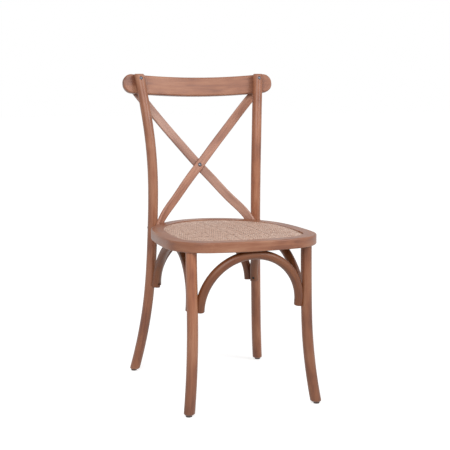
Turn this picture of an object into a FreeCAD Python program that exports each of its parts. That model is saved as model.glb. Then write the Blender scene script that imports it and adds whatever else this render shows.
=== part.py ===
import FreeCAD, Part
import math
import os

# Cross back dining chair, bentwood, seat woven over a board.
# Frame: millimetres, +Z up, the chair faces -Y, origin on the floor under the middle of the chair.
# "left" is the side seen on the left from the front (-X).

V = FreeCAD.Vector
UP = V(0, 0, 1)

# Overall sizes
BACK_HEIGHT = 890.0
SEAT_HEIGHT = 458.5

# Seat ring: a bent hoop, its outline is five tangent arcs on each side
RING_THICKNESS = 27.5
RIM_WIDTH = 36.0
RING_FRONT_Y = -263.1
FRONT_RADIUS = 617.0
CORNER_RADIUS = 115.2
SIDE_RADIUS = 871.0
SHOULDER_RADIUS = 262.0
CORNER_STARTS = 11.2
SIDE_STARTS = 87.0
SHOULDER_STARTS = 97.8
REAR_STARTS = 145.0
RING_TOP_ROUND = 4.0
RING_BOTTOM_ROUND = 3.0
LIP_WIDTH = 8.0

# Seat board and woven panel
BOARD_THICKNESS = 15.0
PANEL_CROWN = 3.0
CROWN_RADIUS = 3600.0

# Legs and posts, bent rods
LEG_DIAMETER = 30.0
POST_DIAMETER = 29.0
TENON_DIAMETER = 19.0
TENON_LENGTH = 18.0
FOOT_CHAMFER = 3.0
TOP_CHAMFER = 3.0
LEG_TOP_X = 163.0
LEG_TOP_Y = -206.6
LEG_SPLAY_X = 19.4
LEG_SPLAY_Y = -35.4
POST_SEAT_ANGLE = 40.95
POST_FOOT_OUT = 39.6
POST_FOOT_BACK = 80.2
POST_TOP_OUT = 23.7
POST_TOP_BACK = 45.8

# Glides
GLIDE_DIAMETER = 17.0
GLIDE_HEIGHT = 5.5
GLIDE_PIN_DIAMETER = 4.0
GLIDE_PIN_LENGTH = 14.0

# Top rail, a bent board that leans back with the posts
RAIL_HEIGHT = 55.6
RAIL_THICKNESS = 18.0
RAIL_OVERHANG = 45.8
RAIL_BOW_RADIUS = 2200.0
RAIL_EDGE_RADIUS = 2500.0
RAIL_LEAN = 13.5
RAIL_BEHIND_SEAT = 57.0
RAIL_BELOW_TOP = 37.4
RAIL_END_ROUND = 26.0
RAIL_EDGE_ROUND = 4.0

# Cross slats
SLAT_WIDTH = 26.5
SLAT_THICKNESS = 9.0
SLAT_ROUND = 3.0
LET_IN = 0.5
SLAT_PAST_POST = 12.8
CROSSING_BEHIND_SEAT = 53.7
CROSSING_RISE = 0.4285
CROSSING_LEAN = 12.0
SLAT_SCREW_DROP = 6.5

# Arches under the seat
ARCH_DIAMETER = 25.0
ARCH_FLAT = 0.8
END_ARCH_DROP = 161.0
SIDE_ARCH_DROP = 162.0
FRONT_ARCH_FROM_LEG = (-22.4, -1.9)
SIDE_ARCH_FROM_LEG = (-2.0, 19.6)
SIDE_ARCH_FROM_POST = (-6.0, -8.8)
BACK_ARCH_FROM_POST = (-16.5, 14.2)
END_ARCH_SIDE_RADIUS = 147.8
END_ARCH_SIDE_TURN = 47.0
SIDE_ARCH_SIDE_RADIUS = 122.0
SIDE_ARCH_SIDE_TURN = 36.0
FRONT_ARCH_LEAN = 30.0
BACK_ARCH_LEAN = 15.0
SIDE_ARCH_LEAN = 13.0
ARCH_END_ROUND = 2.0

# Fasteners
SCREW_DIAMETER = 4.0
SCREW_HEAD_DIAMETER = 7.6
SCREW_HEAD_HEIGHT = 2.6
SCREW_POCKET_DEPTH = 5.0
ARCH_SCREW_LENGTH = 30.0
SLAT_SCREW_LENGTH = 20.0
BOARD_SCREW_LENGTH = 22.0
BOARD_SCREWS = 8
BOARD_SCREW_INSET = 4.6
END_ARCH_SCREW_RISE = 15.0
SIDE_ARCH_SCREW_RISE = 10.0
BOLT_DIAMETER = 6.0
BOLT_HEAD_DIAMETER = 10.0
BOLT_HEAD_HEIGHT = 3.2
CROSS_HEAD_DIAMETER = 12.0
SOCKET_WIDTH = 4.0
SOCKET_DEPTH = 1.8
CAP_NUT_WIDTH = 10.0
CAP_NUT_HEIGHT = 7.0
RAIL_BOLT_BELOW_TOP = 15.0
BARREL_DIAMETER = 10.0
BARREL_LENGTH = 15.0
BARREL_INSET = 16.0

# Worked out from the sizes above
RING_BOTTOM = SEAT_HEIGHT - RING_THICKNESS
BOARD_TOP = RING_BOTTOM + BOARD_THICKNESS
ARCH_RADIUS = ARCH_DIAMETER / 2.0
LEG_RADIUS = LEG_DIAMETER / 2.0
POST_RADIUS = POST_DIAMETER / 2.0
APEX_Z = RING_BOTTOM - ARCH_RADIUS + ARCH_FLAT
SEAT_BOLT_Z = RING_BOTTOM + RING_THICKNESS / 2.0


def mirrored(shape):
    return shape.mirror(V(0, 0, 0), V(1, 0, 0))


def flipped(point):
    return V(-point.x, point.y, point.z)


# Seat ring outline

def outline_arcs():
    """Centre, radius, start and end heading of the right-hand arcs, front to rear."""
    headings = [0.0, CORNER_STARTS, SIDE_STARTS, SHOULDER_STARTS, REAR_STARTS, 180.0]
    radii = [FRONT_RADIUS, CORNER_RADIUS, SIDE_RADIUS, SHOULDER_RADIUS]
    arcs = []
    x = 0.0
    y = RING_FRONT_Y
    for i in range(5):
        start = math.radians(headings[i])
        end = math.radians(headings[i + 1])
        # the rear arc closes the outline on the centre line
        radius = radii[i] if i < 4 else x / math.sin(start)
        centre = V(x - radius * math.sin(start), y + radius * math.cos(start), 0)
        arcs.append((centre, radius, start, end))
        x = centre.x + radius * math.sin(end)
        y = centre.y - radius * math.cos(end)
    return arcs


ARCS = outline_arcs()
SHOULDER_CENTRE = ARCS[3][0]


def outline_face(inset, z):
    def on_arc(arc, heading):
        centre, radius = arc[0], arc[1] - inset
        return V(centre.x + radius * math.sin(heading), centre.y - radius * math.cos(heading), z)

    right = []
    for arc in ARCS:
        middle = (arc[2] + arc[3]) / 2.0
        right.append((on_arc(arc, arc[2]), on_arc(arc, middle), on_arc(arc, arc[3])))
    edges = [Part.Arc(a, b, c).toShape() for a, b, c in right]
    edges += [Part.Arc(flipped(c), flipped(b), flipped(a)).toShape() for a, b, c in reversed(right)]
    return Part.Face(Part.Wire(edges))


def edges_at(shape, z, longer_than=0.0):
    found = []
    for edge in shape.Edges:
        box = edge.BoundBox
        if abs(box.ZMin - z) < 0.01 and abs(box.ZMax - z) < 0.01 and edge.Length > longer_than:
            found.append(edge)
    return found


# Bent rods

def bent_rod(points, radius):
    curve = Part.BSplineCurve()
    curve.interpolate(points)
    path = Part.Wire(curve.toShape())
    start = points[0]
    tangent = curve.tangent(curve.FirstParameter)[0]
    section = Part.Wire(Part.makeCircle(radius, start, tangent))
    return path.makePipeShell([section], True, True)


def between_levels(shape, low, high):
    room = Part.makeBox(1200, 1200, high - low, V(-600, -600, low))
    return shape.common(room)


def run_on(last, before, length):
    """The point that a rod would reach if it went straight on past its last point."""
    step = last - before
    step.normalize()
    return last + step * length


# outward direction at the rear shoulder of the ring, where the post is bolted
post_turn = math.radians(POST_SEAT_ANGLE)
OUT = V(math.cos(post_turn), math.sin(post_turn), 0)
ALONG = V(-OUT.y, OUT.x, 0)
RING_EDGE = SHOULDER_CENTRE + OUT * SHOULDER_RADIUS
POST_SEAT = RING_EDGE + OUT * (SLAT_THICKNESS + POST_RADIUS - 2 * LET_IN)
POST_SEAT = V(POST_SEAT.x, POST_SEAT.y, SEAT_BOLT_Z)

POST_FOOT = V(POST_SEAT.x + POST_FOOT_OUT, POST_SEAT.y + POST_FOOT_BACK, 0)
POST_TOP = V(POST_SEAT.x + POST_TOP_OUT, POST_SEAT.y + POST_TOP_BACK, BACK_HEIGHT)
LEG_FOOT = V(LEG_TOP_X + LEG_SPLAY_X, LEG_TOP_Y + LEG_SPLAY_Y, 0)
RAIL_MIDDLE = V(0, POST_SEAT.y + RAIL_BEHIND_SEAT, BACK_HEIGHT - RAIL_BELOW_TOP)
RAIL_HALF_LENGTH = POST_TOP.x + RAIL_OVERHANG


def beside(x, y, offset, drop):
    """A point under the seat, given by its offset from a leg or a post there."""
    return V(x + offset[0], y + offset[1], RING_BOTTOM - drop)


FRONT_ARCH_FOOT = beside(LEG_TOP_X, LEG_TOP_Y, FRONT_ARCH_FROM_LEG, END_ARCH_DROP)
SIDE_ARCH_FRONT_FOOT = beside(LEG_TOP_X, LEG_TOP_Y, SIDE_ARCH_FROM_LEG, SIDE_ARCH_DROP)
SIDE_ARCH_REAR_FOOT = beside(POST_SEAT.x, POST_SEAT.y, SIDE_ARCH_FROM_POST, SIDE_ARCH_DROP)
BACK_ARCH_FOOT = beside(POST_SEAT.x, POST_SEAT.y, BACK_ARCH_FROM_POST, END_ARCH_DROP)


def post_path():
    def at(out, back, z):
        return V(POST_SEAT.x + out, POST_SEAT.y + back, z)

    ankle = at(0.57 * POST_FOOT_OUT, 0.59 * POST_FOOT_BACK, 0.118 * BACK_HEIGHT)
    knee = at(0.25 * POST_FOOT_OUT, 0.245 * POST_FOOT_BACK, 0.253 * BACK_HEIGHT)
    waist = at(-0.05 * POST_TOP_OUT, -0.1 * POST_TOP_BACK, 0.66 * BACK_HEIGHT)
    shoulder = at(0.2 * POST_TOP_OUT, 0.13 * POST_TOP_BACK, 0.8 * BACK_HEIGHT)
    neck = at(0.6 * POST_TOP_OUT, 0.57 * POST_TOP_BACK, 0.91 * BACK_HEIGHT)
    top = at(POST_TOP_OUT, POST_TOP_BACK, BACK_HEIGHT)
    toe = run_on(POST_FOOT, ankle, 14)
    tip = run_on(top, neck, 14)
    return [toe, ankle, knee, POST_SEAT, waist, shoulder, neck, tip]


def leg_path():
    def at(splay, z):
        return V(LEG_TOP_X + splay[0] * LEG_SPLAY_X, LEG_TOP_Y + splay[1] * LEG_SPLAY_Y, z)

    ankle = at((0.366, 0.58), 0.23 * RING_BOTTOM)
    knee = at((0.04, 0.29), 0.465 * RING_BOTTOM)
    thigh = at((-0.025, 0.14), 0.7 * RING_BOTTOM)
    top = at((0.0, 0.0), RING_BOTTOM)
    return [run_on(LEG_FOOT, ankle, 14), ankle, knee, thigh, top, V(top.x, top.y, top.z + 14)]


def chamfered(shape, z, size):
    return shape.makeChamfer(size, edges_at(shape, z))


def glide_at(foot):
    """Turned plastic glide with the pin that holds it in the rod."""
    disc = Part.makeCylinder(GLIDE_DIAMETER / 2.0, GLIDE_HEIGHT, foot)
    disc = disc.makeFillet(1.2, edges_at(disc, 0))
    pin = Part.makeCylinder(GLIDE_PIN_DIAMETER / 2.0, GLIDE_HEIGHT + GLIDE_PIN_LENGTH, foot)
    pin = between_levels(pin, GLIDE_HEIGHT / 2.0, GLIDE_HEIGHT + GLIDE_PIN_LENGTH)
    return disc.fuse(pin).removeSplitter()


# Arches

def arch(foot_a, foot_b, lean, side_radius, side_turn):
    """Round hoop: straight feet, two side arcs, one top arc, in a plane that leans by `lean` at the apex."""
    half = (foot_b - foot_a).Length / 2.0
    middle = (foot_a + foot_b) * 0.5
    across = foot_b - foot_a
    across.normalize()
    rise = V(lean.x, lean.y, APEX_Z - foot_a.z)
    height = rise.Length
    rise.normalize()
    turn = math.radians(side_turn)
    inward = side_radius * (1 - math.cos(turn))
    top_radius = (half - inward) / math.cos(turn)
    arc_height = side_radius * math.sin(turn) + top_radius * (1 - math.sin(turn))
    straight = height - arc_height

    def at(u, v):
        return middle + across * u + rise * v

    def side(angle, sign):
        u = half - side_radius * (1 - math.cos(angle))
        return at(sign * u, straight + side_radius * math.sin(angle))

    line_a = Part.LineSegment(at(-half, 0), at(-half, straight)).toShape()
    arc_a = Part.Arc(side(0, -1), side(turn / 2.0, -1), side(turn, -1)).toShape()
    arc_top = Part.Arc(side(turn, -1), at(0, height), side(turn, 1)).toShape()
    arc_b = Part.Arc(side(turn, 1), side(turn / 2.0, 1), side(0, 1)).toShape()
    line_b = Part.LineSegment(at(half, straight), at(half, 0)).toShape()
    path = Part.Wire([line_a, arc_a, arc_top, arc_b, line_b])
    section = Part.Wire(Part.makeCircle(ARCH_RADIUS, at(-half, 0), rise))
    rod = path.makePipeShell([section], True, False)
    rod = rod.makeFillet(ARCH_END_ROUND, end_rims(rod, [at(-half, 0), at(half, 0)]))
    return between_levels(rod, 0, RING_BOTTOM)


def end_rims(shape, centres):
    rims = []
    for edge in shape.Edges:
        for centre in centres:
            if edge.BoundBox.DiagonalLength < 2.9 * ARCH_RADIUS and (edge.CenterOfMass - centre).Length < 1.0:
                rims.append(edge)
    return rims


# Top rail

def build_rail():
    """Board cut to its elevation, bent in plan, rounded, then leant back."""
    half = RAIL_HALF_LENGTH
    high = RAIL_HEIGHT / 2.0
    lift = half * half / (2.0 * RAIL_EDGE_RADIUS)
    depth = 80.0

    def upright(points):
        return [V(p[0], -depth / 2.0, p[1]) for p in points]

    top_left, top_mid, top_right = upright([(-half, high + lift), (0, high), (half, high + lift)])
    low_left, low_mid, low_right = upright([(-half, lift - high), (0, -high), (half, lift - high)])
    outline = Part.Wire([
        Part.Arc(top_left, top_mid, top_right).toShape(),
        Part.LineSegment(top_right, low_right).toShape(),
        Part.Arc(low_right, low_mid, low_left).toShape(),
        Part.LineSegment(low_left, top_left).toShape(),
    ])
    board = Part.Face(outline).extrude(V(0, depth, 0))
    corners = [e for e in board.Edges if e.BoundBox.XLength < 0.1 and e.BoundBox.ZLength < 0.1]
    board = board.makeFillet(RAIL_END_ROUND, corners)
    drum_centre = V(0, -RAIL_BOW_RADIUS, -150)
    outer = Part.makeCylinder(RAIL_BOW_RADIUS + RAIL_THICKNESS, 300, drum_centre)
    inner = Part.makeCylinder(RAIL_BOW_RADIUS, 300, drum_centre)
    board = board.common(outer.cut(inner))
    board = max(board.Solids, key=lambda solid: solid.CenterOfMass.y)
    long_edges = [e for e in board.Edges if e.BoundBox.YLength < 14.0 or e.BoundBox.XLength > 300]
    board = board.makeFillet(RAIL_EDGE_ROUND, long_edges)
    board.rotate(V(0, 0, 0), V(1, 0, 0), -RAIL_LEAN)
    board.translate(RAIL_MIDDLE)
    return board


# Cross slats

def slat_section(centre, tangent, face):
    """Rounded rectangle across the slat; `face` is the way its broad side looks."""
    normal = face - tangent * face.dot(tangent)
    normal.normalize()
    side = tangent.cross(normal)
    w = SLAT_WIDTH / 2.0
    t = SLAT_THICKNESS / 2.0
    r = SLAT_ROUND
    k = r * (1 - math.sqrt(0.5))

    def at(u, v):
        return centre + side * u + normal * v

    edges = []
    for su, sv in ((1, 1), (-1, 1), (-1, -1), (1, -1)):
        into = at(su * w, sv * (t - r)) if su * sv > 0 else at(su * (w - r), sv * t)
        out = at(su * (w - r), sv * t) if su * sv > 0 else at(su * w, sv * (t - r))
        edges.append(Part.Arc(into, at(su * (w - k), sv * (t - k)), out).toShape())
        if su * sv > 0:
            edges.append(Part.LineSegment(out, at(-su * (w - r), sv * t)).toShape())
        else:
            edges.append(Part.LineSegment(out, at(su * w, -sv * (t - r))).toShape())
    return Part.Wire(edges)


def between(a, b, along):
    """The point that lies the given shares of the way from a to b in x, y and z."""
    return V(a.x + along[0] * (b.x - a.x), a.y + along[1] * (b.y - a.y), a.z + along[2] * (b.z - a.z))


def rail_back_at(x):
    """Where the middle of a slat lies when it is let into the back of the rail."""
    lean = math.cos(math.radians(RAIL_LEAN))
    bow = x * x / (2.0 * RAIL_BOW_RADIUS)
    y = RAIL_MIDDLE.y - bow + (RAIL_THICKNESS + SLAT_THICKNESS / 2.0) / lean - LET_IN
    return V(x, y, RAIL_MIDDLE.z)


SLAT_RISE = RAIL_MIDDLE.z - SEAT_BOLT_Z
CROSSING = V(0, POST_SEAT.y + CROSSING_BEHIND_SEAT, SEAT_BOLT_Z + CROSSING_RISE * SLAT_RISE)


def build_slat(crossing_offset):
    """Slat from the lower left to the upper right, moved by crossing_offset where the two cross."""
    out = V(-OUT.x, OUT.y, 0)
    along = V(-ALONG.x, ALONG.y, 0)
    seat_end = flipped(RING_EDGE) + out * (SLAT_THICKNESS / 2.0 - LET_IN)
    seat_end = V(seat_end.x, seat_end.y, SEAT_BOLT_Z)
    low_end = seat_end - along * 9.0 - UP * 13.0
    rail_end = rail_back_at(POST_TOP.x + SLAT_PAST_POST)
    seat_turn = 90.0 - POST_SEAT_ANGLE
    shift = V(0, crossing_offset, 0)
    # centre line, and how far the broad side is turned inwards from facing -Y there
    stations = [
        (low_end, seat_turn),
        (seat_end, seat_turn),
        (between(seat_end, CROSSING, (0.15, 0.217, 0.202)), 0.7 * seat_turn),
        (between(seat_end, CROSSING, (0.405, 0.514, 0.431)), 0.45 * seat_turn),
        (between(seat_end, CROSSING, (0.7585, 0.84, 0.774)) + shift * 0.6, 0.16 * seat_turn),
        (CROSSING + shift, 0.0),
        (between(CROSSING, rail_end, (0.225, 0.526, 0.217)) + shift * 0.5, -7.0),
        (between(CROSSING, rail_end, (0.532, 0.965, 0.517)), -13.0),
        (between(CROSSING, rail_end, (0.785, 1.08, 0.774)), -11.0),
        (between(CROSSING, rail_end, (0.944, 0.95, 0.937)), -6.0),
        (rail_end, -5.0),
    ]
    curve = Part.BSplineCurve()
    curve.interpolate([place for place, turn in stations])
    wires = []
    for place, turn in stations:
        tangent = curve.tangent(curve.parameter(place))[0]
        angle = math.radians(turn)
        face = V(math.sin(angle), -math.cos(angle), 0)
        wires.append(slat_section(place, tangent, face))
    return Part.makeLoft(wires, True, False)


# Fasteners, each a solid that its wood is cut by

def wood_screw(head_at, axis, length, pocket):
    """Countersunk screw and the open pocket over its head."""
    axis = V(axis)
    axis.normalize()
    r = SCREW_DIAMETER / 2.0
    head = Part.makeCone(SCREW_HEAD_DIAMETER / 2.0, r, SCREW_HEAD_HEIGHT, head_at, axis)
    shank = Part.makeCylinder(r, length - 6.0, head_at, axis)
    point = Part.makeCone(r, 0.5, 6.0, head_at + axis * (length - 6.0), axis)
    screw = head.fuse([shank, point]).removeSplitter()
    slot = Part.makeCylinder(1.2, 1.2, head_at, axis)
    open_pocket = Part.makeCylinder(SCREW_HEAD_DIAMETER / 2.0, pocket, head_at - axis * pocket, axis)
    return screw.cut(slot), screw.fuse(open_pocket)


def dome(place, axis, diameter, height):
    r = diameter / 2.0
    ball_radius = (r * r + height * height) / (2.0 * height)
    ball = Part.makeSphere(ball_radius, place - axis * (ball_radius - height))
    return ball.common(Part.makeCylinder(r, height, place, axis))


def hexagon(place, axis, width, height):
    side = axis.cross(UP)
    if side.Length < 0.1:
        side = V(1, 0, 0)
    side.normalize()
    up = side.cross(axis)
    reach = width / math.sqrt(3)
    points = []
    for i in range(7):
        turn = math.radians(60 * i)
        points.append(place + side * (reach * math.cos(turn)) + up * (reach * math.sin(turn)))
    return Part.Face(Part.makePolygon(points)).extrude(axis * height)


def bolt(head_at, axis, length, head_diameter):
    """Domed bolt: head_at is the seat of the head, axis points from the head to the tip."""
    head = dome(head_at, axis * -1, head_diameter, BOLT_HEAD_HEIGHT)
    crown = head_at - axis * BOLT_HEAD_HEIGHT
    socket = hexagon(crown, axis, SOCKET_WIDTH, SOCKET_DEPTH)
    shank = Part.makeCylinder(BOLT_DIAMETER / 2.0, length, head_at, axis)
    return head.cut(socket).fuse(shank).removeSplitter()


def cap_nut(seat_at, axis, shank):
    """Hexagon nut with a domed cap, over the end of a bolt; axis points away from the wood."""
    body = hexagon(seat_at, axis, CAP_NUT_WIDTH, 0.55 * CAP_NUT_HEIGHT)
    cap = dome(seat_at + axis * (0.55 * CAP_NUT_HEIGHT), axis, 0.92 * CAP_NUT_WIDTH, 0.45 * CAP_NUT_HEIGHT)
    return body.fuse(cap).removeSplitter().cut(shank)


# Build the wooden pieces

def build_ring():
    outer = outline_face(0, RING_BOTTOM).extrude(UP * RING_THICKNESS)
    outer = outer.makeFillet(RING_TOP_ROUND, edges_at(outer, SEAT_HEIGHT))
    outer = outer.makeFillet(RING_BOTTOM_ROUND, edges_at(outer, RING_BOTTOM))
    opening = outline_face(RIM_WIDTH, RING_BOTTOM).extrude(UP * RING_THICKNESS)
    rebate = outline_face(RIM_WIDTH - LIP_WIDTH, RING_BOTTOM).extrude(UP * BOARD_THICKNESS)
    ring = outer.cut(opening)
    inner_rim = [e for e in edges_at(ring, SEAT_HEIGHT) if on_outline(e, RIM_WIDTH)]
    ring = ring.makeFillet(1.5, inner_rim)
    return ring.cut(rebate)


def on_outline(edge, inset):
    point = edge.valueAt((edge.FirstParameter + edge.LastParameter) / 2.0)
    line = outline_face(inset, point.z).OuterWire
    return line.distToShape(Part.Vertex(point))[0] < 0.05


def build_panel():
    face = outline_face(RIM_WIDTH, BOARD_TOP)
    block = face.extrude(UP * (RING_THICKNESS - BOARD_THICKNESS + 2 * PANEL_CROWN))
    middle_y = (block.BoundBox.YMin + block.BoundBox.YMax) / 2.0
    ball = Part.makeSphere(CROWN_RADIUS, V(0, middle_y, SEAT_HEIGHT + PANEL_CROWN - CROWN_RADIUS))
    return block.common(ball)


ring = build_ring()
board = outline_face(RIM_WIDTH - LIP_WIDTH, RING_BOTTOM).extrude(UP * BOARD_THICKNESS)
panel = build_panel()

leg = between_levels(bent_rod(leg_path(), LEG_RADIUS), GLIDE_HEIGHT, RING_BOTTOM)
leg = chamfered(leg, GLIDE_HEIGHT, FOOT_CHAMFER)
tenon = Part.makeCylinder(TENON_DIAMETER / 2.0, TENON_LENGTH, V(LEG_TOP_X, LEG_TOP_Y, RING_BOTTOM))
tenon = tenon.makeChamfer(1.0, edges_at(tenon, RING_BOTTOM + TENON_LENGTH))
leg = leg.fuse(tenon).removeSplitter()
front_glide = glide_at(LEG_FOOT)
leg = leg.cut(front_glide)

post = between_levels(bent_rod(post_path(), POST_RADIUS), GLIDE_HEIGHT, BACK_HEIGHT)
post = chamfered(post, GLIDE_HEIGHT, FOOT_CHAMFER)
post = chamfered(post, BACK_HEIGHT, TOP_CHAMFER)
rear_glide = glide_at(POST_FOOT)
post = post.cut(rear_glide)

rail = build_rail()
front_slat = build_slat(-SLAT_THICKNESS / 2.0)
rear_slat = mirrored(build_slat(SLAT_THICKNESS / 2.0))

front_arch = arch(flipped(FRONT_ARCH_FOOT), FRONT_ARCH_FOOT, V(0, -FRONT_ARCH_LEAN, 0),
                  END_ARCH_SIDE_RADIUS, END_ARCH_SIDE_TURN)
back_arch = arch(flipped(BACK_ARCH_FOOT), BACK_ARCH_FOOT, V(0, BACK_ARCH_LEAN, 0),
                 END_ARCH_SIDE_RADIUS, END_ARCH_SIDE_TURN)
side_arch = arch(SIDE_ARCH_FRONT_FOOT, SIDE_ARCH_REAR_FOOT, V(-SIDE_ARCH_LEAN, 0, 0),
                 SIDE_ARCH_SIDE_RADIUS, SIDE_ARCH_SIDE_TURN)


# Joints: what is let into what

slats = [front_slat, rear_slat]
ring = ring.cut([leg, mirrored(leg)] + slats)
post = post.cut(rail)
right_post = post.cut(rear_slat)
left_post = mirrored(post).cut(front_slat)
rear_slat = rear_slat.cut([front_slat, rail])
front_slat = front_slat.cut(rail)
front_arch = front_arch.cut([leg, mirrored(leg)])
back_arch = back_arch.cut([post, mirrored(post)])
side_arch = side_arch.cut([leg, post])


# Fasteners in place

def distances(shape, start, axis, reach=400.0):
    """How far along a line a piece begins and ends."""
    inside = Part.makeLine(start, start + axis * reach).common(shape)
    along = [(vertex.Point - start).dot(axis) for vertex in inside.Vertexes]
    return min(along), max(along)


def centre_at(shape, z):
    return Part.Face(shape.slice(UP, z)[0]).CenterOfMass


def both_sides(shapes):
    return shapes + [mirrored(shape) for shape in shapes]


lean = math.radians(RAIL_LEAN)
BACKWARD = V(0, math.cos(lean), -math.sin(lean))
SPOT_DEPTH = POST_RADIUS - math.sqrt(POST_RADIUS ** 2 - (BOLT_HEAD_DIAMETER / 2.0) ** 2)


def spot_face(seat, axis):
    """Flat seat milled in a round post for a bolt head."""
    return Part.makeCylinder(BOLT_HEAD_DIAMETER / 2.0 + 0.2, 8, seat, axis)


# rail bolts: through the top of each post and the rail
rail_bolt_centre = centre_at(post, BACK_HEIGHT - RAIL_BOLT_BELOW_TOP)
rail_bolt_seat = rail_bolt_centre - BACKWARD * (POST_RADIUS - SPOT_DEPTH)
rail_back = distances(rail, rail_bolt_seat, BACKWARD)[1]
nut_seat = rail_bolt_seat + BACKWARD * (rail_back - 0.6)
rail_bolt = bolt(rail_bolt_seat, BACKWARD, rail_back + 2.8, BOLT_HEAD_DIAMETER)
rail_nut = cap_nut(nut_seat, BACKWARD, rail_bolt)
nut_flat = Part.makeCylinder(CAP_NUT_WIDTH / 2.0 + 1.2, 8, nut_seat, BACKWARD)
rail_bolts = both_sides([rail_bolt])
rail_nuts = both_sides([rail_nut])
top_spot = spot_face(rail_bolt_seat, BACKWARD * -1)

# seat bolts: from behind each post, through the slat, into a barrel nut in the ring
seat_bolt_seat = POST_SEAT + OUT * (POST_RADIUS - SPOT_DEPTH)
barrel_at = V(RING_EDGE.x, RING_EDGE.y, SEAT_BOLT_Z - BARREL_LENGTH / 2.0) - OUT * BARREL_INSET
seat_bolt_length = (seat_bolt_seat - barrel_at).dot(OUT) + BARREL_DIAMETER / 2.0
seat_bolt = bolt(seat_bolt_seat, OUT * -1, seat_bolt_length, BOLT_HEAD_DIAMETER)
barrel = Part.makeCylinder(BARREL_DIAMETER / 2.0, BARREL_LENGTH, barrel_at).cut(seat_bolt)
barrel_bore = Part.makeCylinder(BARREL_DIAMETER / 2.0, BARREL_LENGTH, barrel_at)
barrel_bore = barrel_bore.fuse(barrel_bore.translated(V(0, 0, RING_BOTTOM - barrel_at.z)))
seat_bolts = both_sides([seat_bolt])
barrel_nuts = both_sides([barrel])
low_spot = spot_face(seat_bolt_seat, OUT)

# cross bolt: through both slats where they cross
cross_lean = math.radians(CROSSING_LEAN)
cross_axis = V(0, math.cos(cross_lean), -math.sin(cross_lean))
cross_start = V(0, 0, CROSSING.z + CROSSING.y * math.tan(cross_lean))
cross_front = distances(front_slat, cross_start, cross_axis)[0]
cross_back = distances(rear_slat, cross_start, cross_axis)[1]
cross_seat = cross_start + cross_axis * (cross_front + 0.5)
cross_nut_seat = cross_start + cross_axis * (cross_back - 0.5)
cross_bolt = bolt(cross_seat, cross_axis, cross_back - cross_front + 4.0, CROSS_HEAD_DIAMETER)
cross_nut = cap_nut(cross_nut_seat, cross_axis, cross_bolt)
cross_flats = [
    Part.makeCylinder(CROSS_HEAD_DIAMETER / 2.0 + 0.2, 6, cross_seat, cross_axis * -1),
    Part.makeCylinder(CAP_NUT_WIDTH / 2.0 + 1.2, 6, cross_nut_seat, cross_axis),
]

# arch screws: one through each foot into its leg or post, one up through each crown

def screw_foot(foot, rise, lean_by, into):
    height = APEX_Z - foot.z
    place = foot + UP * rise + lean_by * (rise / height)
    axis = centre_at(into, place.z) - place
    axis.normalize()
    head_at = place - axis * (ARCH_RADIUS - SCREW_POCKET_DEPTH)
    return wood_screw(head_at, axis, ARCH_SCREW_LENGTH, SCREW_POCKET_DEPTH + 4.0)


def screw_crown(x, y):
    head_at = V(x, y, APEX_Z - ARCH_RADIUS + SCREW_POCKET_DEPTH)
    return wood_screw(head_at, UP, ARCH_SCREW_LENGTH, SCREW_POCKET_DEPTH + 2.0)


feet = [
    screw_foot(FRONT_ARCH_FOOT, END_ARCH_SCREW_RISE, V(0, -FRONT_ARCH_LEAN, 0), leg),
    screw_foot(BACK_ARCH_FOOT, END_ARCH_SCREW_RISE, V(0, BACK_ARCH_LEAN, 0), post),
    screw_foot(SIDE_ARCH_FRONT_FOOT, SIDE_ARCH_SCREW_RISE, V(-SIDE_ARCH_LEAN, 0, 0), leg),
    screw_foot(SIDE_ARCH_REAR_FOOT, SIDE_ARCH_SCREW_RISE, V(-SIDE_ARCH_LEAN, 0, 0), post),
]
side_crown_x = (SIDE_ARCH_FRONT_FOOT.x + SIDE_ARCH_REAR_FOOT.x) / 2.0 - SIDE_ARCH_LEAN
side_crown_y = (SIDE_ARCH_FRONT_FOOT.y + SIDE_ARCH_REAR_FOOT.y) / 2.0
side_crown = screw_crown(side_crown_x, side_crown_y)
end_crowns = [
    screw_crown(0, FRONT_ARCH_FOOT.y - FRONT_ARCH_LEAN),
    screw_crown(0, BACK_ARCH_FOOT.y + BACK_ARCH_LEAN),
]
arch_screws = both_sides([pair[0] for pair in feet + [side_crown]]) + [pair[0] for pair in end_crowns]
arch_holes = both_sides([pair[1] for pair in feet + [side_crown]]) + [pair[1] for pair in end_crowns]

# slat screws: from behind through each slat's upper end into the rail
slat_mid = centre_at(front_slat, RAIL_MIDDLE.z - SLAT_SCREW_DROP)
slat_back = distances(front_slat, slat_mid, BACKWARD)[1]
slat_screw_at = slat_mid + BACKWARD * (slat_back - 0.3)
slat_screw, slat_hole = wood_screw(slat_screw_at, BACKWARD * -1, SLAT_SCREW_LENGTH, 2.0)
slat_screws = both_sides([slat_screw])
slat_holes = both_sides([slat_hole])

# board screws: up through the edge of the seat board into the lip of the ring
board_screws = []
board_holes = []
screw_line = outline_face(RIM_WIDTH - LIP_WIDTH + BOARD_SCREW_INSET, RING_BOTTOM).OuterWire
for place in screw_line.discretize(Number=2 * BOARD_SCREWS + 1)[1::2]:
    screw, hole = wood_screw(place + UP * 0.2, UP, BOARD_SCREW_LENGTH, 0.2)
    board_screws.append(screw)
    board_holes.append(hole)


# Bore the wood for its fasteners

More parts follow.
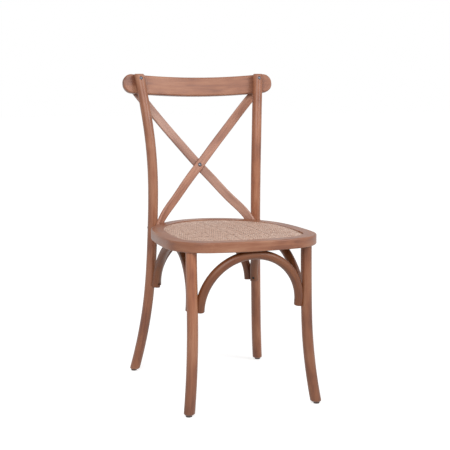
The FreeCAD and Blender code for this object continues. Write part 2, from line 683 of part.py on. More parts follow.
ring = ring.cut(seat_bolts + both_sides([barrel_bore]) + arch_holes + board_holes)
board = board.cut(arch_holes + board_holes + [leg, mirrored(leg)])
right_leg = leg.cut(arch_holes)
left_leg = mirrored(leg).cut(arch_holes)
post_bores = [rail_bolt, top_spot, seat_bolt, low_spot, feet[1][1], feet[3][1]]
for bore in post_bores:
    right_post = right_post.cut(bore)
    left_post = left_post.cut(mirrored(bore))
rail = rail.cut(rail_bolts + both_sides([nut_flat]) + slat_holes)
front_slat = front_slat.cut(seat_bolts + slat_holes + [cross_bolt, cross_flats[0]])
rear_slat = rear_slat.cut(seat_bolts + slat_holes + [cross_bolt, cross_flats[1]])
front_arch = front_arch.cut(arch_holes)
back_arch = back_arch.cut(arch_holes)
right_arch = side_arch.cut(arch_holes)
left_arch = mirrored(side_arch).cut(arch_holes)


# Write one file per node

def write(name, *shapes):
    solids = [solid for shape in shapes for solid in shape.Solids]
    whole = solids[0] if len(solids) == 1 else Part.makeCompound(solids)
    whole.exportStep("parts/" + name + ".step")


os.makedirs("parts", exist_ok=True)
write("seat_ring", ring)
write("seat_board", board)
write("rattan_panel", panel)
write("right_front_leg", right_leg)
write("left_front_leg", left_leg)
write("right_rear_post", right_post)
write("left_rear_post", left_post)
write("top_rail", rail)
write("front_cross_slat", front_slat)
write("rear_cross_slat", rear_slat)
write("front_arch", front_arch)
write("back_arch", back_arch)
write("right_side_arch", right_arch)
write("left_side_arch", left_arch)
write("right_front_glide", front_glide)
write("left_front_glide", mirrored(front_glide))
write("right_rear_glide", rear_glide)
write("left_rear_glide", mirrored(rear_glide))
write("rail_bolts", *rail_bolts)
write("rail_nuts", *rail_nuts)
write("cross_bolt", cross_bolt)
write("cross_nut", cross_nut)
write("seat_bolts", *seat_bolts)
write("barrel_nuts", *barrel_nuts)
write("arch_screws", *arch_screws)
write("slat_screws", *slat_screws)
write("board_screws", *board_screws)
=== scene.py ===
import math

import bpy
import numpy as np
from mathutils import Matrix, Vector


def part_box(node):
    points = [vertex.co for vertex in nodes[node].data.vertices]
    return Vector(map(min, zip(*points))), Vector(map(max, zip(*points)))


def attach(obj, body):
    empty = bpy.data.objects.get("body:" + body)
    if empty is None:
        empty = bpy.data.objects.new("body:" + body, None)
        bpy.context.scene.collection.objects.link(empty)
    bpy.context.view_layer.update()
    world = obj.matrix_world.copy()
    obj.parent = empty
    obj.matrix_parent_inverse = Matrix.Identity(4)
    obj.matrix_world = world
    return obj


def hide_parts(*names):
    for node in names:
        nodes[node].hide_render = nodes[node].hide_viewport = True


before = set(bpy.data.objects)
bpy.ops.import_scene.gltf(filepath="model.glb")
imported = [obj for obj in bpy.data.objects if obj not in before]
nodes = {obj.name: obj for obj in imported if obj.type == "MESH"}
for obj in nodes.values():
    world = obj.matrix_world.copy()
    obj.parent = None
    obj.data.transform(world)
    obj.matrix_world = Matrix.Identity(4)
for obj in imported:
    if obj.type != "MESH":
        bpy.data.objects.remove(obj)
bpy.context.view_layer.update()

# Front legs: round rods of beech, steam-bent to their sweep and tenoned up into the seat ring.
# They are stained walnut brown and sprayed with satin lacquer, which gives soft, wide highlights.
# The grain runs along each rod and follows its bend, because the rod was bent, not sawn.
WOOD_DARK = "#75432f"
WOOD_MID = "#a0694e"
WOOD_LIGHT = "#b9866a"
WOOD_STOPS = [(0.34, WOOD_DARK), (0.5, WOOD_MID), (0.66, WOOD_LIGHT)]
# Sizes of the wood's patterns in metres, and how much each counts in the colour.
# Beech pores are about 0.1 mm wide, too fine to show, so the fibre is drawn 1.6 mm wide.
FIBRE_WIDTH = 0.0016
FIBRE_LENGTH = 0.075
FIBRE_SHARE = 0.2
FIGURE_WIDTH = 0.012
FIGURE_LENGTH = 0.09
FIGURE_SHARE = 0.36
CLOUD_WIDTH = 0.07
CLOUD_LENGTH = 0.112
CLOUD_SHARE = 0.44
FIBRE_DEPTH = 0.0004
# Height in metres at which the painted shade and light towards the floor fades out, just under the seat.
PAINTED_LIGHT_FADE = 0.42
SLICES = 14


def linear(hex_colour):
    """sRGB hex to the linear colour that the shaders take."""
    channels = [int(hex_colour[i:i + 2], 16) / 255.0 for i in (1, 3, 5)]
    return [c / 12.92 if c <= 0.04045 else ((c + 0.055) / 1.055) ** 2.4 for c in channels] + [1.0]


def add(tree, kind, settings=None, **inputs):
    """One node with its settings; an input given as a socket is linked, anything else is its value.

    i0, i1 and so on name an input by its number, and stops are the places and sRGB colours of a ramp."""
    made = tree.nodes.new(kind)
    for name, value in (settings or {}).items():
        if name != "stops":
            setattr(made, name, value)
            continue
        elements = made.color_ramp.elements
        while len(elements) < len(value):
            elements.new(0.5)
        for element, (place, colour) in zip(elements, value):
            element.position = place
            element.color = linear(colour)
    for name, value in inputs.items():
        key = int(name[1:]) if name[0] == "i" and name[1:].isdigit() else name.replace("_", " ")
        socket = made.inputs[key]
        if isinstance(value, bpy.types.NodeSocket):
            tree.links.new(value, socket)
        else:
            socket.default_value = value
    return made


def put_finish(name, pieces, shader_of):
    """A material whose nodes shader_of makes, put on the pieces."""
    material = bpy.data.materials.new(name)
    material.use_nodes = True
    tree = material.node_tree
    tree.nodes.clear()
    shader = shader_of(tree)
    add(tree, "ShaderNodeOutputMaterial", Surface=shader.outputs[0])
    for piece in pieces:
        piece.data.materials.clear()
        piece.data.materials.append(material)


def bend(tree, along, places, values):
    """The centre of a bent piece as a smooth curve of the way along it, in metres."""
    low, high = min(values), max(values)
    room = max(high - low, 0.0001)
    curve = add(tree, "ShaderNodeFloatCurve", Value=along)
    points = curve.mapping.curves[0].points
    steps = [(place, (value - low) / room) for place, value in zip(places, values)]
    points[0].location = steps[0]
    points[1].location = steps[-1]
    for step in steps[1:-1]:
        points.new(*step)
    curve.mapping.update()
    scaled = add(tree, "ShaderNodeMath", {"operation": "MULTIPLY_ADD"}, i0=curve.outputs[0], i1=room, i2=low)
    return scaled.outputs[0]


def grain_space(tree, piece, along, centre=None, ahead=1.0):
    """Coordinates that follow a bent piece: two across it and one along it, all in metres.

    along is the axis that the piece runs along (0, 1 or 2), or the pair of axes that it bends round
    in, about centre, with the middle of the way at +1 or -1 (ahead) on the second axis.
    The bend is read from slices through the piece's own mesh."""
    corners = np.array([vertex.co[:] for vertex in piece.data.vertices])
    xyz = add(tree, "ShaderNodeSeparateXYZ", Vector=add(tree, "ShaderNodeTexCoord").outputs["Object"])
    if centre is None:
        across = [axis for axis in range(3) if axis != along]
        way = corners[:, along]
        offsets = [corners[:, axis] for axis in across]
        way_socket = xyz.outputs[along]
        offset_sockets = [xyz.outputs[axis] for axis in across]
        length = way.max() - way.min()
    else:
        flat = [corners[:, axis] - centre[k] for k, axis in enumerate(along)]
        other = 3 - along[0] - along[1]
        way = np.arctan2(flat[0], flat[1] * ahead)
        offsets = [np.hypot(flat[0], flat[1]), corners[:, other]]
        local = []
        for k, axis in enumerate(along):
            from_centre = add(tree, "ShaderNodeMath", {"operation": "SUBTRACT"}, i0=xyz.outputs[axis],
                              i1=centre[k])
            local.append(from_centre.outputs[0])
        facing = add(tree, "ShaderNodeMath", {"operation": "MULTIPLY"}, i0=local[1], i1=ahead).outputs[0]
        way_socket = add(tree, "ShaderNodeMath", {"operation": "ARCTAN2"}, i0=local[0], i1=facing).outputs[0]
        pair = add(tree, "ShaderNodeCombineXYZ", X=local[0], Y=local[1]).outputs[0]
        radius = add(tree, "ShaderNodeVectorMath", {"operation": "LENGTH"}, i0=pair).outputs["Value"]
        offset_sockets = [radius, xyz.outputs[other]]
        length = (way.max() - way.min()) * offsets[0].mean()
    start, end = way.min(), way.max()
    unit = add(tree, "ShaderNodeMapRange", Value=way_socket, From_Min=start, From_Max=end).outputs[0]
    reach = (end - start) / SLICES
    straightened = []
    for offset, socket in zip(offsets, offset_sockets):
        places, values = [], []
        for k in range(SLICES + 1):
            here = start + k * reach
            inside = np.abs(way - here) <= reach * 0.5
            if inside.any():
                places.append(k / SLICES)
                values.append((offset[inside].min() + offset[inside].max()) / 2.0)
        middle = bend(tree, unit, places, values)
        from_middle = add(tree, "ShaderNodeMath", {"operation": "SUBTRACT"}, i0=socket, i1=middle)
        straightened.append(from_middle.outputs[0])
    way_metres = add(tree, "ShaderNodeMath", {"operation": "MULTIPLY"}, i0=unit, i1=length).outputs[0]
    return add(tree, "ShaderNodeCombineXYZ", X=straightened[0], Y=straightened[1], Z=way_metres).outputs[0]


def drawn_out(tree, vector, width, length, shift, detail=3.0, roughness=0.55, distortion=0.0):
    """A pattern drawn out along the third axis: width across it and length along it, in metres."""
    placed = add(tree, "ShaderNodeMapping", Vector=vector, Location=(shift, shift * 0.7, shift * 1.3),
                 Scale=(1.0 / width, 1.0 / width, 1.0 / length))
    return add(tree, "ShaderNodeTexNoise", Vector=placed.outputs[0], Scale=1.0, Detail=detail,
               Roughness=roughness, Distortion=distortion).outputs["Fac"]


def bentwood(name, shift, along, centre=None, ahead=1.0, tone=1.0, painted_foot_light=1.0, redness=1.0):
    """Stained and lacquered beech: fine fibre streaks, a soft wavy figure and patches of stain.

    tone and redness: how light and how strong this piece is drawn, partly its stain and partly painted light
    and shade;
    foot: the tone's share at the floor, painted shade where it is below 1 and painted light where it is
    above 1, fading out just under the seat; shift: its own part of the pattern."""

    def shader_of(tree):
        space = grain_space(tree, nodes[name], along, centre, ahead)
        fibre = drawn_out(tree, space, FIBRE_WIDTH, FIBRE_LENGTH, shift, detail=4.0, roughness=0.6)
        figure = drawn_out(tree, space, FIGURE_WIDTH, FIGURE_LENGTH, shift + 3.0, distortion=0.6)
        cloud = drawn_out(tree, space, CLOUD_WIDTH, CLOUD_LENGTH, shift + 7.0, detail=2.0)
        mixed = add(tree, "ShaderNodeMath", {"operation": "MULTIPLY"}, i0=fibre, i1=FIBRE_SHARE).outputs[0]
        for pattern, share in [(figure, FIGURE_SHARE), (cloud, CLOUD_SHARE)]:
            mixed = add(tree, "ShaderNodeMath", {"operation": "MULTIPLY_ADD"}, i0=pattern, i1=share,
                        i2=mixed).outputs[0]
        colour = add(tree, "ShaderNodeValToRGB", {"stops": WOOD_STOPS}, Fac=mixed)
        place = add(tree, "ShaderNodeTexCoord").outputs["Object"]
        height = add(tree, "ShaderNodeSeparateXYZ", Vector=place).outputs["Z"]
        # Painted shade and light by height: towards the floor the tone is scaled by the piece's foot share,
        # fading out just under the seat.
        level = add(tree, "ShaderNodeMapRange", Value=height, From_Min=0.0, From_Max=PAINTED_LIGHT_FADE,
                    To_Min=tone * painted_foot_light, To_Max=tone)
        toned = add(tree, "ShaderNodeHueSaturation", Color=colour.outputs[0], Saturation=redness,
                    Value=level.outputs[0])
        gloss = add(tree, "ShaderNodeMapRange", Value=figure, From_Min=0.3, From_Max=0.7,
                    To_Min=0.4, To_Max=0.55)
        relief = add(tree, "ShaderNodeBump", Height=fibre, Strength=0.12, Distance=FIBRE_DEPTH)
        return add(tree, "ShaderNodeBsdfPrincipled", Base_Color=toned.outputs[0], Roughness=gloss.outputs[0],
                   Normal=relief.outputs[0], IOR=1.5, Coat_Weight=0.15, Coat_Roughness=0.3)

    put_finish("stained_beech_" + name, [nodes[name]], shader_of)


# Both legs are the same stock: the right leg's much lower tone is painted shade, and both are painted darker
# towards the floor.
bentwood("left_front_leg", 1.0, along=2, tone=1.08, painted_foot_light=0.55, redness=1.06)
bentwood("right_front_leg", 2.0, along=2, tone=0.66, painted_foot_light=0.84, redness=1.1)

# Rear posts: one longer rod each of the same bent beech, from the floor to the rail.
# Each is bolted to the seat ring, and it carries the slats and the rail on its back.
# The left post's lower tone is painted shade, and both posts are painted a little lighter towards the floor.
bentwood("left_rear_post", 4.0, along=2, tone=0.87, painted_foot_light=1.1, redness=1.03)
bentwood("right_rear_post", 5.0, along=2, tone=0.97, painted_foot_light=1.08, redness=1.05)

# Seat ring: one beech strip bent into a hoop, its ends scarfed together at the back.
# The grain follows the hoop all the way round, and starts and ends at that joint.
ring_low, ring_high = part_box("seat_ring")
ring_middle = ((ring_low[0] + ring_high[0]) / 2.0, (ring_low[1] + ring_high[1]) / 2.0)
# Its lower tone is partly painted shade on its sides and corners, as well as the stain.
bentwood("seat_ring", 8.0, along=(0, 1), centre=ring_middle, ahead=-1.0, tone=0.77, redness=1.04)

# Arches: four thinner rods of bent beech under the seat, screwed to the legs, the posts and the seat.
# They are drawn the darkest and reddest pieces, and their low tone is painted shade from the seat above
# them.
ARCH_CENTRE_DROP = 0.14
for name, axis, shift in [
    ("front_arch", 0, 11.0),
    ("back_arch", 0, 13.0),
    ("left_side_arch", 1, 17.0),
    ("right_side_arch", 1, 19.0),
]:
    low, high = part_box(name)
    hoop_middle = ((low[axis] + high[axis]) / 2.0, high[2] - ARCH_CENTRE_DROP)
    bentwood(name, shift, along=(axis, 2), centre=hoop_middle, tone=0.47, redness=1.2)

# Cross slats: two flat strips of bent beech that cross behind the sitter's back and are bolted there.
# They are drawn the palest wood on the chair, and the rear one a little greyer; this is partly the stain and
# partly a painted sheen of the lacquer.
bentwood("front_cross_slat", 23.0, along=2, tone=1.15, redness=0.9)
bentwood("rear_cross_slat", 29.0, along=2, tone=1.1, redness=0.78)

# Top rail: a board of the same beech, bent a little in plan and bolted to the backs of the posts.
# Its grain runs from end to end.
bentwood("top_rail", 31.0, along=0, tone=0.88, redness=1.0)

# Seat board: birch plywood under the weave, in a rebate of the ring and lacquered thinly.
# Its face veneer runs from front to back with a soft wavy figure, and the edge shows the plies.
PLY_DARK = "#a98560"
PLY_LIGHT = "#cfae87"
PLY_THICKNESS = 0.0015
PLY_CONTRAST = 0.2
VENEER_WIDTH = 0.009
VENEER_LENGTH = 0.16


def plywood(tree):
    place = add(tree, "ShaderNodeTexCoord").outputs["Object"]
    turned = add(tree, "ShaderNodeMapping", Vector=place, Rotation=(math.pi / 2.0, 0.0, 0.0)).outputs[0]
    figure = drawn_out(tree, turned, VENEER_WIDTH, VENEER_LENGTH, 37.0, detail=4.0, distortion=0.8)
    height = add(tree, "ShaderNodeSeparateXYZ", Vector=place).outputs["Z"]
    ply = add(tree, "ShaderNodeMath", {"operation": "PINGPONG"}, i0=height, i1=PLY_THICKNESS).outputs[0]
    mixed = add(tree, "ShaderNodeMath", {"operation": "MULTIPLY_ADD"}, i0=ply,
                i1=PLY_CONTRAST / PLY_THICKNESS, i2=figure).outputs[0]
    colour = add(tree, "ShaderNodeValToRGB", {"stops": [(0.35, PLY_DARK), (0.75, PLY_LIGHT)]}, Fac=mixed)
    relief = add(tree, "ShaderNodeBump", Height=figure, Strength=0.1, Distance=0.0003)
    return add(tree, "ShaderNodeBsdfPrincipled", Base_Color=colour.outputs[0], Roughness=0.55,
               Normal=relief.outputs[0], IOR=1.5)


put_finish("birch_plywood", [nodes["seat_board"]], plywood)

# Woven seat: narrow strips of split rattan in a two-over, two-under herringbone, over a thin board.
# Each set of strips is one grid, cut into strips, ended on the ring, waved over and under, and
# given its thickness.
# Such strips are usually about 3 mm apart, too fine to show. They are drawn 4.6 mm apart, as coarse
# as the flecks that the photograph shows.
STRIP_PITCH = 0.0046
STRIP_GAP = 0.0008
STRIP_THICKNESS = 0.0007
WAVE = 0.0007
STRIP_CAMBER = 0.0003
HERRINGBONE = 10
CROWN_RADIUS = 3.6
TUCK = 0.0003
STRIP_EDGE_ANGLE = math.radians(40.0)
PANEL_RIM = 0.0005
RIM_OVERLAP = 0.002
panel = nodes["rattan_panel"]
panel_low, panel_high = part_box("rattan_panel")
panel_middle_y = (panel_low[1] + panel_high[1]) / 2.0
panel_points = np.array([vertex.co[:] for vertex in panel.data.vertices])
panel_rim = panel_points[panel_points[:, 2] < panel_low[2] + PANEL_RIM]


def ends_at(across_axis, value):
    """Where the panel's outline starts and ends on a line across it."""
    along_axis = 1 - across_axis
    middle = (panel_rim[:, along_axis].min() + panel_rim[:, along_axis].max()) / 2.0
    ends = []
    for side in (-1, 1):
        half = panel_rim[(panel_rim[:, along_axis] - middle) * side > -RIM_OVERLAP]
        order = half[np.argsort(half[:, across_axis])]
        ends.append(float(np.interp(value, order[:, across_axis], order[:, along_axis])))
    return min(ends), max(ends)


def crown(x, y):
    """Height of the panel's crowned top."""
    return panel_high[2] - (x * x + (y - panel_middle_y) ** 2) / (2.0 * CROWN_RADIUS)


def passes_over(i, j):
    """Whether lengthwise strip i lies over crosswise strip j in the herringbone."""
    turn = i % (2 * HERRINGBONE)
    step = turn if turn < HERRINGBONE else 2 * HERRINGBONE - turn
    return (j + step) % 4 < 2


def strips(name, across_axis):
    """All strips of one direction: three columns of vertices to a strip, a row at each crossing.

    The attribute dip is 0 where a strip lies on top and 1 where it passes under."""
    along_axis = 1 - across_axis
    count = int((panel_high[across_axis] - panel_low[across_axis]) / STRIP_PITCH) + 1
    steps = int((panel_high[along_axis] - panel_low[along_axis]) / STRIP_PITCH) + 1
    across_start = (panel_low[across_axis] + panel_high[across_axis] - count * STRIP_PITCH) / 2.0
    along_start = (panel_low[along_axis] + panel_high[along_axis] - steps * STRIP_PITCH) / 2.0
    columns = 3 * count
    rows = steps + 2
    bpy.ops.object.select_all(action="DESELECT")
    bpy.ops.mesh.primitive_grid_add(x_subdivisions=columns - 1, y_subdivisions=rows - 1, size=1.0)
    piece = bpy.context.object
    piece.name = name
    mesh = piece.data
    places = np.zeros((rows, columns, 3))
    beyond = np.zeros((rows, columns), dtype=int)
    dips = np.zeros((rows, columns))
    half_width = (STRIP_PITCH - STRIP_GAP) / 2.0
    for column in range(columns):
        i, part = divmod(column, 3)
        u = across_start + (i + 0.5) * STRIP_PITCH + (part - 1) * half_width
        first, last = ends_at(across_axis, u)
        for row in range(rows):
            j = row - 1
            v = along_start + (j + 0.5) * STRIP_PITCH
            beyond[row, column] = -1 if v <= first else (1 if v >= last else 0)
            v = min(max(v, first), last)
            over = passes_over(i, j) if across_axis == 0 else not passes_over(j, i)
            dips[row, column] = 0.0 if over else 1.0
            x, y = (u, v) if across_axis == 0 else (v, u)
            camber = 0.0 if part == 1 else -STRIP_CAMBER
            tuck = TUCK if beyond[row, column] else 0.0
            places[row, column] = (x, y, crown(x, y) - 2.0 * WAVE * dips[row, column] + camber - tuck)
    mesh.vertices.foreach_set("co", places.reshape(-1))
    mesh.attributes.new("dip", "FLOAT", "POINT").data.foreach_set("value", dips.reshape(-1))
    bpy.ops.object.mode_set(mode="EDIT")
    bpy.ops.mesh.select_mode(type="FACE")
    bpy.ops.mesh.select_all(action="DESELECT")
    bpy.ops.object.mode_set(mode="OBJECT")
    # the faces between two strips, and those past the ring, are taken away
    for face in mesh.polygons:
        corners = [divmod(k, columns) for k in face.vertices]
        between = {column % 3 for row, column in corners} == {0, 2}
        ends = {int(beyond[corner]) for corner in corners}
        face.select = between or ends in ({-1}, {1})
    bpy.ops.object.mode_set(mode="EDIT")
    bpy.ops.mesh.delete(type="FACE")
    bpy.ops.mesh.select_all(action="SELECT")
    bpy.ops.mesh.normals_make_consistent(inside=False)
    bpy.ops.object.mode_set(mode="OBJECT")
    if sum(face.normal.z for face in mesh.polygons) < 0.0:
        mesh.flip_normals()
    thick = piece.modifiers.new("thickness", "SOLIDIFY")
    thick.thickness = STRIP_THICKNESS
    thick.offset = -1.0
    bpy.ops.object.modifier_apply(modifier=thick.name)
    bpy.ops.object.shade_smooth_by_angle(angle=STRIP_EDGE_ANGLE)
    return piece, across_start


# Split rattan is bare and silky, straw brown with a pink cast, and each strip has its own tone.
# Its fibres are drawn 0.5 mm wide, and a strip is painted darker with shade where it dips under the others.
RATTAN_DARK = "#9a6f5c"
RATTAN_MID = "#d3b09d"
RATTAN_LIGHT = "#edd5c4"
RATTAN_STOPS = [(0.26, RATTAN_DARK), (0.46, RATTAN_MID), (0.66, RATTAN_LIGHT)]
RATTAN_FIBRE_WIDTH = 0.0005
RATTAN_FIBRE_LENGTH = 0.02
RATTAN_FIBRE_SHARE = 0.35
BLUSH_WIDTH = 0.004
BLUSH_LENGTH = 0.02
BLUSH_SHARE = 0.45
STRIP_TONE_SHARE = 0.12
DIP_SHADE = 0.4


def rattan(across_axis, start):
    def shader_of(tree):
        place = add(tree, "ShaderNodeTexCoord").outputs["Object"]
        xyz = add(tree, "ShaderNodeSeparateXYZ", Vector=place)
        strip = add(tree, "ShaderNodeMath", {"operation": "SUBTRACT"}, i0=xyz.outputs[across_axis], i1=start)
        strip = add(tree, "ShaderNodeMath", {"operation": "DIVIDE"}, i0=strip.outputs[0], i1=STRIP_PITCH)
        strip = add(tree, "ShaderNodeMath", {"operation": "FLOOR"}, i0=strip.outputs[0])
        tone = add(tree, "ShaderNodeTexWhiteNoise", {"noise_dimensions": "1D"}, W=strip.outputs[0])
        turn = (math.pi / 2.0, 0.0, 0.0) if across_axis == 0 else (0.0, math.pi / 2.0, 0.0)
        turned = add(tree, "ShaderNodeMapping", Vector=place, Rotation=turn).outputs[0]
        fibre = drawn_out(tree, turned, RATTAN_FIBRE_WIDTH, RATTAN_FIBRE_LENGTH, 41.0)
        blush = drawn_out(tree, turned, BLUSH_WIDTH, BLUSH_LENGTH, 43.0, detail=2.0)
        mixed = add(tree, "ShaderNodeMath", {"operation": "MULTIPLY"}, i0=fibre,
                    i1=RATTAN_FIBRE_SHARE).outputs[0]
        for pattern, share in [(tone.outputs["Value"], STRIP_TONE_SHARE), (blush, BLUSH_SHARE)]:
            mixed = add(tree, "ShaderNodeMath", {"operation": "MULTIPLY_ADD"}, i0=pattern, i1=share,
                        i2=mixed).outputs[0]
        colour = add(tree, "ShaderNodeValToRGB", {"stops": RATTAN_STOPS}, Fac=mixed)
        # Painted shade: a strip's colour is darkened where it passes under the others.
        dip = add(tree, "ShaderNodeAttribute", {"attribute_name": "dip"}).outputs["Fac"]
        shade = add(tree, "ShaderNodeMapRange", Value=dip, From_Max=0.6, To_Min=1.0, To_Max=DIP_SHADE)
        shaded = add(tree, "ShaderNodeHueSaturation", Color=colour.outputs[0], Value=shade.outputs[0])
        relief = add(tree, "ShaderNodeBump", Height=fibre, Strength=0.2, Distance=0.0002)
        return add(tree, "ShaderNodeBsdfPrincipled", Base_Color=shaded.outputs[0], Roughness=0.5,
                   Normal=relief.outputs[0], IOR=1.5)

    return shader_of


lengthwise, lengthwise_start = strips("rattan_lengthwise", 0)
crosswise, crosswise_start = strips("rattan_crosswise", 1)
put_finish("split_rattan_lengthwise", [lengthwise], rattan(0, lengthwise_start))
put_finish("split_rattan_crosswise", [crosswise], rattan(1, crosswise_start))

# Painted shade under the weave: a matt dark brown sheet, crowned like the panel, that shows only between the
# strips as the shade there.
# It is the panel's own shape, lowered under the strips.
SHADE_SHEET_DROP = 0.0023
GAP_SHADE_DARK = "#4a3226"
GAP_SHADE_LIGHT = "#6f4f3d"
GAP_SHADE_STOPS = [(0.3, GAP_SHADE_DARK), (0.7, GAP_SHADE_LIGHT)]
FLECK_SIZE = 0.0008
SAME_POINT = 0.00001
SHADE_SHEET_FOOT = 0.001
bpy.ops.object.select_all(action="DESELECT")
gap_sheet = bpy.data.objects.new("weave_gap_shade", panel.data.copy())
bpy.context.scene.collection.objects.link(gap_sheet)
bpy.context.view_layer.objects.active = gap_sheet
gap_sheet.select_set(True)
bpy.ops.object.mode_set(mode="EDIT")
bpy.ops.mesh.select_all(action="SELECT")
bpy.ops.mesh.remove_doubles(threshold=SAME_POINT)
bpy.ops.object.mode_set(mode="OBJECT")
for vertex in gap_sheet.data.vertices:
    if vertex.co.z > panel_low[2] + SHADE_SHEET_FOOT:
        vertex.co.z -= SHADE_SHEET_DROP


# Dark brown flecked sheet: painted shade for the gaps between the rattan strips.
def painted_gap_shade(tree):
    place = add(tree, "ShaderNodeTexCoord").outputs["Object"]
    flecks = drawn_out(tree, place, FLECK_SIZE, FLECK_SIZE, 47.0, detail=4.0)
    colour = add(tree, "ShaderNodeValToRGB", {"stops": GAP_SHADE_STOPS}, Fac=flecks)
    relief = add(tree, "ShaderNodeBump", Height=flecks, Strength=0.3, Distance=0.0002)
    return add(tree, "ShaderNodeBsdfPrincipled", Base_Color=colour.outputs[0], Roughness=0.95,
               Normal=relief.outputs[0])


put_finish("painted_gap_shade_sheet", [gap_sheet], painted_gap_shade)
for piece in (lengthwise, crosswise, gap_sheet):
    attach(piece, "root")
    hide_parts("rattan_panel")

# Bolts and nuts: steel with a dark nickel plate, with domed heads that handling has dulled.
# The plate gives small, soft reflections, a little blue beside the wood.
NICKEL = "#7d7f86"
NICKEL_DULL = "#5c5e66"
NICKEL_STOPS = [(0.35, NICKEL_DULL), (0.65, NICKEL)]
HANDLING_SIZE = 0.002


def nickel(tree):
    place = add(tree, "ShaderNodeTexCoord").outputs["Object"]
    handling = drawn_out(tree, place, HANDLING_SIZE, HANDLING_SIZE, 53.0)
    colour = add(tree, "ShaderNodeValToRGB", {"stops": NICKEL_STOPS}, Fac=handling)
    gloss = add(tree, "ShaderNodeMapRange", Value=handling, To_Min=0.3, To_Max=0.45)
    return add(tree, "ShaderNodeBsdfPrincipled", Base_Color=colour.outputs[0], Metallic=1.0,
               Roughness=gloss.outputs[0])


bolt_names = ["rail_bolts", "rail_nuts", "cross_bolt", "cross_nut", "seat_bolts", "barrel_nuts"]
put_finish("nickel_plate", [nodes[name] for name in bolt_names], nickel)

# Wood screws: hardened steel with a dark phosphate finish, deep in their pockets.
# The finish is nearly black and hardly shines, and the steel shows through where it is worn.
PHOSPHATE = "#3a3835"
PHOSPHATE_WORN = "#6a6762"
PHOSPHATE_STOPS = [(0.45, PHOSPHATE), (0.75, PHOSPHATE_WORN)]
WEAR_SIZE = 0.0012


def phosphated(tree):
    place = add(tree, "ShaderNodeTexCoord").outputs["Object"]
    wear = drawn_out(tree, place, WEAR_SIZE, WEAR_SIZE, 59.0, detail=4.0)
    colour = add(tree, "ShaderNodeValToRGB", {"stops": PHOSPHATE_STOPS}, Fac=wear)
    return add(tree, "ShaderNodeBsdfPrincipled", Base_Color=colour.outputs[0], Metallic=1.0, Roughness=0.45)


screw_names = ["arch_screws", "slat_screws", "board_screws"]
put_finish("phosphated_steel", [nodes[name] for name in screw_names], phosphated)

# Glides: moulded nylon discs under the feet, each held by its pin in the end of the leg or the post.
# They are grey brown and dull, and scuffed paler where they meet the floor.
NYLON = "#4a3f3a"
NYLON_SCUFFED = "#6d605a"
NYLON_STOPS = [(0.4, NYLON), (0.9, NYLON_SCUFFED)]
NYLON_GRAIN = 0.001
SCUFF_HEIGHT = 0.0015


def nylon(tree):
    place = add(tree, "ShaderNodeTexCoord").outputs["Object"]
    height = add(tree, "ShaderNodeSeparateXYZ", Vector=place).outputs["Z"]
    low_down = add(tree, "ShaderNodeMapRange", Value=height, From_Min=0.0, From_Max=SCUFF_HEIGHT,
                   To_Min=0.35, To_Max=0.0)
    grain = drawn_out(tree, place, NYLON_GRAIN, NYLON_GRAIN, 61.0, detail=4.0)
    scuffs = add(tree, "ShaderNodeMath", {"operation": "ADD"}, i0=grain, i1=low_down.outputs[0])
    colour = add(tree, "ShaderNodeValToRGB", {"stops": NYLON_STOPS}, Fac=scuffs.outputs[0])
    relief = add(tree, "ShaderNodeBump", Height=grain, Strength=0.15, Distance=0.0002)
    return add(tree, "ShaderNodeBsdfPrincipled", Base_Color=colour.outputs[0], Roughness=0.6,
               Normal=relief.outputs[0], IOR=1.53)


glide_names = ["left_front_glide", "right_front_glide", "left_rear_glide", "right_rear_glide"]
put_finish("moulded_nylon", [nodes[name] for name in glide_names], nylon)

# Floor: a pale matt sheet of paper that the camera sees as white, with the chair's soft shadow kept.
# Its glow is only for the camera and for reflections, and weaker near the chair, where the lamps
# light it, so that the shadow shows.
FLOOR_SIZE = 40.0
FLOOR_DROP = 0.0005
FLOOR_COLOUR = "#c4c2c0"
FLOOR_GLOW = 0.815
FLOOR_GLOW_NEAR = 0.72
FLOOR_NEAR = 0.4
FLOOR_FAR = 1.8
FLOOR_SHADE = 0.6
bpy.ops.object.select_all(action="DESELECT")
bpy.ops.mesh.primitive_plane_add(size=FLOOR_SIZE, location=(0.0, 0.0, -FLOOR_DROP))
floor = bpy.context.object
floor.name = "floor_sheet"


def seen_directly(tree):
    """1 where the camera, a gloss or a clear piece looks, 0 for the light that reaches the object."""
    path = add(tree, "ShaderNodeLightPath")
    seen = add(tree, "ShaderNodeMath", {"operation": "MAXIMUM"}, i0=path.outputs["Is Camera Ray"],
               i1=path.outputs["Is Glossy Ray"])
    return add(tree, "ShaderNodeMath", {"operation": "MAXIMUM"}, i0=seen.outputs[0],
               i1=path.outputs["Is Transmission Ray"]).outputs[0]


def floor_paper(tree):
    matt = add(tree, "ShaderNodeBsdfDiffuse", Color=linear(FLOOR_COLOUR))
    shade = add(tree, "ShaderNodeBsdfDiffuse", Color=(FLOOR_SHADE, FLOOR_SHADE, FLOOR_SHADE, 1.0))
    place = add(tree, "ShaderNodeTexCoord").outputs["Object"]
    distance = add(tree, "ShaderNodeVectorMath", {"operation": "LENGTH"}, i0=place).outputs["Value"]
    level = add(tree, "ShaderNodeMapRange", Value=distance, From_Min=FLOOR_NEAR, From_Max=FLOOR_FAR,
                To_Min=FLOOR_GLOW_NEAR, To_Max=FLOOR_GLOW)
    glow = add(tree, "ShaderNodeEmission", Color=(1.0, 1.0, 1.0, 1.0), Strength=level.outputs[0])
    white = add(tree, "ShaderNodeAddShader", i0=shade.outputs[0], i1=glow.outputs[0])
    return add(tree, "ShaderNodeMixShader", Fac=seen_directly(tree), i1=matt.outputs[0], i2=white.outputs[0])


put_finish("floor_paper", [floor], floor_paper)

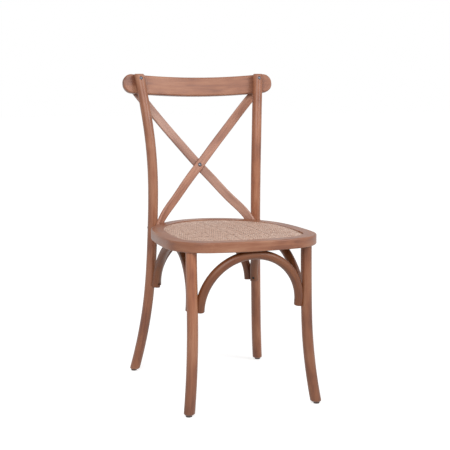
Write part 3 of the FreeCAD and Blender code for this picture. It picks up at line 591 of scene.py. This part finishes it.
# World and lamps: an even white surround, with a large soft lamp on each side of the camera.
# The left one is higher and a little stronger, so the fronts of the rods are lit almost evenly.
WORLD_LIGHT = 0.33
LAMP_AIM = (0.0, 0.0, 0.75)
LEFT_LAMP_PLACE = (-1.7, -2.9, 2.8)
LEFT_LAMP_SIZE = 1.8
LEFT_LAMP_WATTS = 92.0
RIGHT_LAMP_PLACE = (2.2, -2.6, 2.3)
RIGHT_LAMP_SIZE = 1.6
RIGHT_LAMP_WATTS = 66.0
world = bpy.data.worlds.new("studio")
bpy.context.scene.world = world
world.use_nodes = True
sky = world.node_tree
sky.nodes.clear()
strength = add(sky, "ShaderNodeMapRange", Value=seen_directly(sky), To_Min=WORLD_LIGHT, To_Max=1.0)
background = add(sky, "ShaderNodeBackground", Color=(1.0, 1.0, 1.0, 1.0), Strength=strength.outputs[0])
add(sky, "ShaderNodeOutputWorld", Surface=background.outputs[0])


def soft_lamp(name, place, size, watts):
    lamp = bpy.data.lights.new(name, "AREA")
    lamp.shape = "SQUARE"
    lamp.size = size
    lamp.energy = watts
    holder = bpy.data.objects.new(name, lamp)
    holder.location = place
    holder.rotation_euler = (Vector(LAMP_AIM) - Vector(place)).to_track_quat("-Z", "Y").to_euler()
    bpy.context.scene.collection.objects.link(holder)


soft_lamp("softbox_left", LEFT_LAMP_PLACE, LEFT_LAMP_SIZE, LEFT_LAMP_WATTS)
soft_lamp("softbox_right", RIGHT_LAMP_PLACE, RIGHT_LAMP_SIZE, RIGHT_LAMP_WATTS)

# Camera: its place and view are solved from the feet, the post tops and the seat outline in the
# photograph, in metres in the chair's frame.
CAMERA_PLACE = (-1.0189, -2.8868, 0.888)
CAMERA_LOOKS = (0.3307, 0.9339, -0.1362)
FOCAL_LENGTH = 87.6
SENSOR_WIDTH = 36.0
FARTHEST = 200.0
camera_data = bpy.data.cameras.new("camera")
camera_data.lens = FOCAL_LENGTH
camera_data.sensor_width = SENSOR_WIDTH
camera_data.clip_end = FARTHEST
camera = bpy.data.objects.new("camera", camera_data)
camera.location = CAMERA_PLACE
camera.rotation_euler = Vector(CAMERA_LOOKS).to_track_quat("-Z", "Y").to_euler()
bpy.context.scene.collection.objects.link(camera)
bpy.context.scene.camera = camera
bpy.context.scene.view_settings.view_transform = "Standard"
